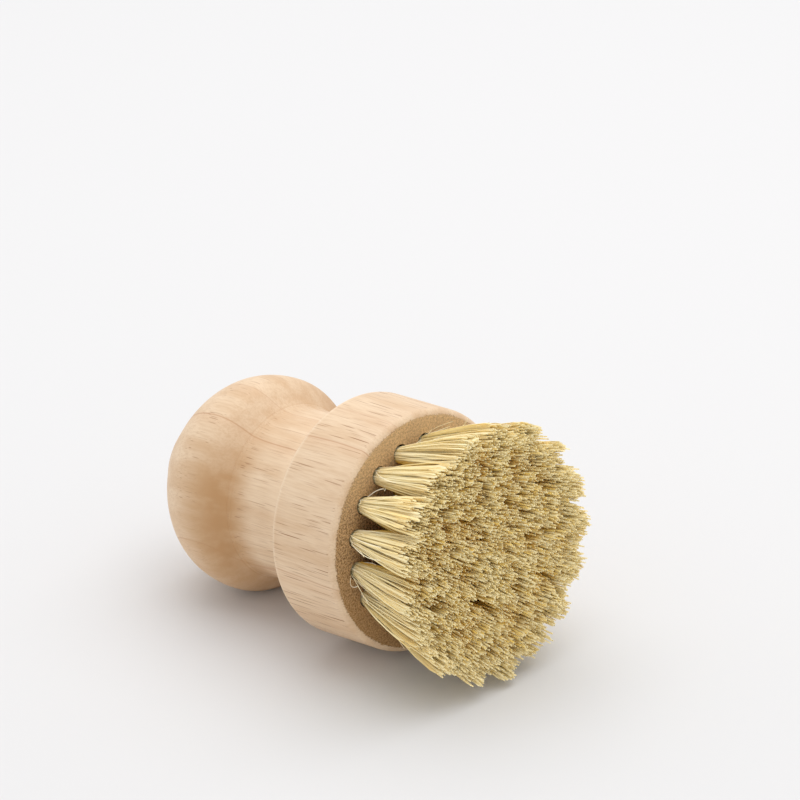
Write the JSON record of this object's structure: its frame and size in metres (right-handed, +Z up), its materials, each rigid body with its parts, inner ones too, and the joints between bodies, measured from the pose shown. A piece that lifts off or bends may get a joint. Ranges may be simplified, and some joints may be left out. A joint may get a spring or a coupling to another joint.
{
  "type": "dish brush",
  "caption": "Round palm dish brush lying on its side: a turned wooden knob, neck and drum with fanned tufts of pale plant fibre trimmed flat.",
  "frame": {"origin": "on the ground under the middle of the bounding box, with the brush lying at rest on its knob and the rear edge of its drum", "axes": "+X towards the bristles, +Z up; the brush axis lies in the XZ plane and rises towards the bristles by the resting tilt"},
  "size_m": [0.0956, 0.0584, 0.0601],
  "materials": {
    "rubberwood": "bare, sanded smooth, with short dark pores along the grain",
    "plant_fibre": "pale straw, dry and matt, with cut ends"
  },
  "bodies": {
    "root": {"turned_handle": "rubberwood", "tuft_center": "plant_fibre", "tuft_inner_01": "plant_fibre", "tuft_inner_02": "plant_fibre", "tuft_inner_03": "plant_fibre", "tuft_inner_04": "plant_fibre", "tuft_inner_05": "plant_fibre", "tuft_inner_06": "plant_fibre", "tuft_middle_01": "plant_fibre", "tuft_middle_02": "plant_fibre", "tuft_middle_03": "plant_fibre", "tuft_middle_04": "plant_fibre", "tuft_middle_05": "plant_fibre", "tuft_middle_06": "plant_fibre", "tuft_middle_07": "plant_fibre", "tuft_middle_08": "plant_fibre", "tuft_middle_09": "plant_fibre", "tuft_middle_10": "plant_fibre", "tuft_middle_11": "plant_fibre", "tuft_outer_01": "plant_fibre", "tuft_outer_02": "plant_fibre", "tuft_outer_03": "plant_fibre", "tuft_outer_04": "plant_fibre", "tuft_outer_05": "plant_fibre", "tuft_outer_06": "plant_fibre", "tuft_outer_07": "plant_fibre", "tuft_outer_08": "plant_fibre", "tuft_outer_09": "plant_fibre", "tuft_outer_10": "plant_fibre", "tuft_outer_11": "plant_fibre", "tuft_outer_12": "plant_fibre", "tuft_outer_13": "plant_fibre", "tuft_outer_14": "plant_fibre", "tuft_outer_15": "plant_fibre", "tuft_outer_16": "plant_fibre", "tuft_outer_17": "plant_fibre"}
  },
  "joints": []
}
